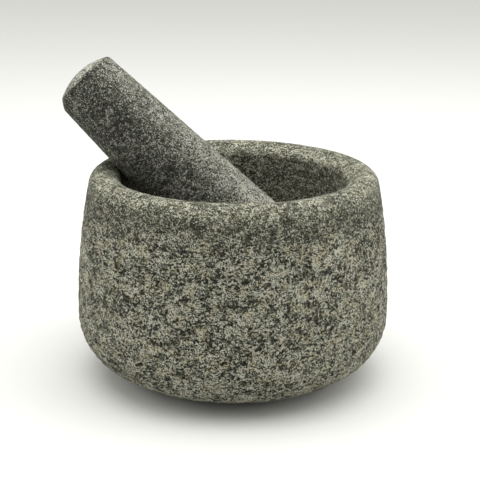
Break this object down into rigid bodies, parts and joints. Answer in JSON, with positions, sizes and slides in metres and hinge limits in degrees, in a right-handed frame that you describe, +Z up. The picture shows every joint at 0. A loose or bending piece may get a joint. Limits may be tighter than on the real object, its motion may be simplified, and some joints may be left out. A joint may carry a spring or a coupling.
{
  "type": "stone mortar and pestle",
  "caption": "Turned granite mortar with a full belly, a thick rounded rim and a small flat foot, and a club-shaped granite pestle leaning on the rim.",
  "frame": {"origin": "centre of the mortar's flat foot, on the surface it stands on", "axes": "+Z up along the bowl's axis; the pestle's upper end leans to -X, turned 10 degrees towards +Y"},
  "size_m": [0.1365, 0.13, 0.1307],
  "materials": {
    "mortar_stone": "matte",
    "pestle_stone": "matte"
  },
  "bodies": {
    "mortar": {"mortar": "mortar_stone"},
    "pestle": {"pestle": "pestle_stone"}
  },
  "joints": [
    {"name": "pestle_lift", "type": "slide", "parent": "mortar", "child": "pestle", "axis": [0, 0, 1], "range_m": [0, 0.12]}
  ]
}
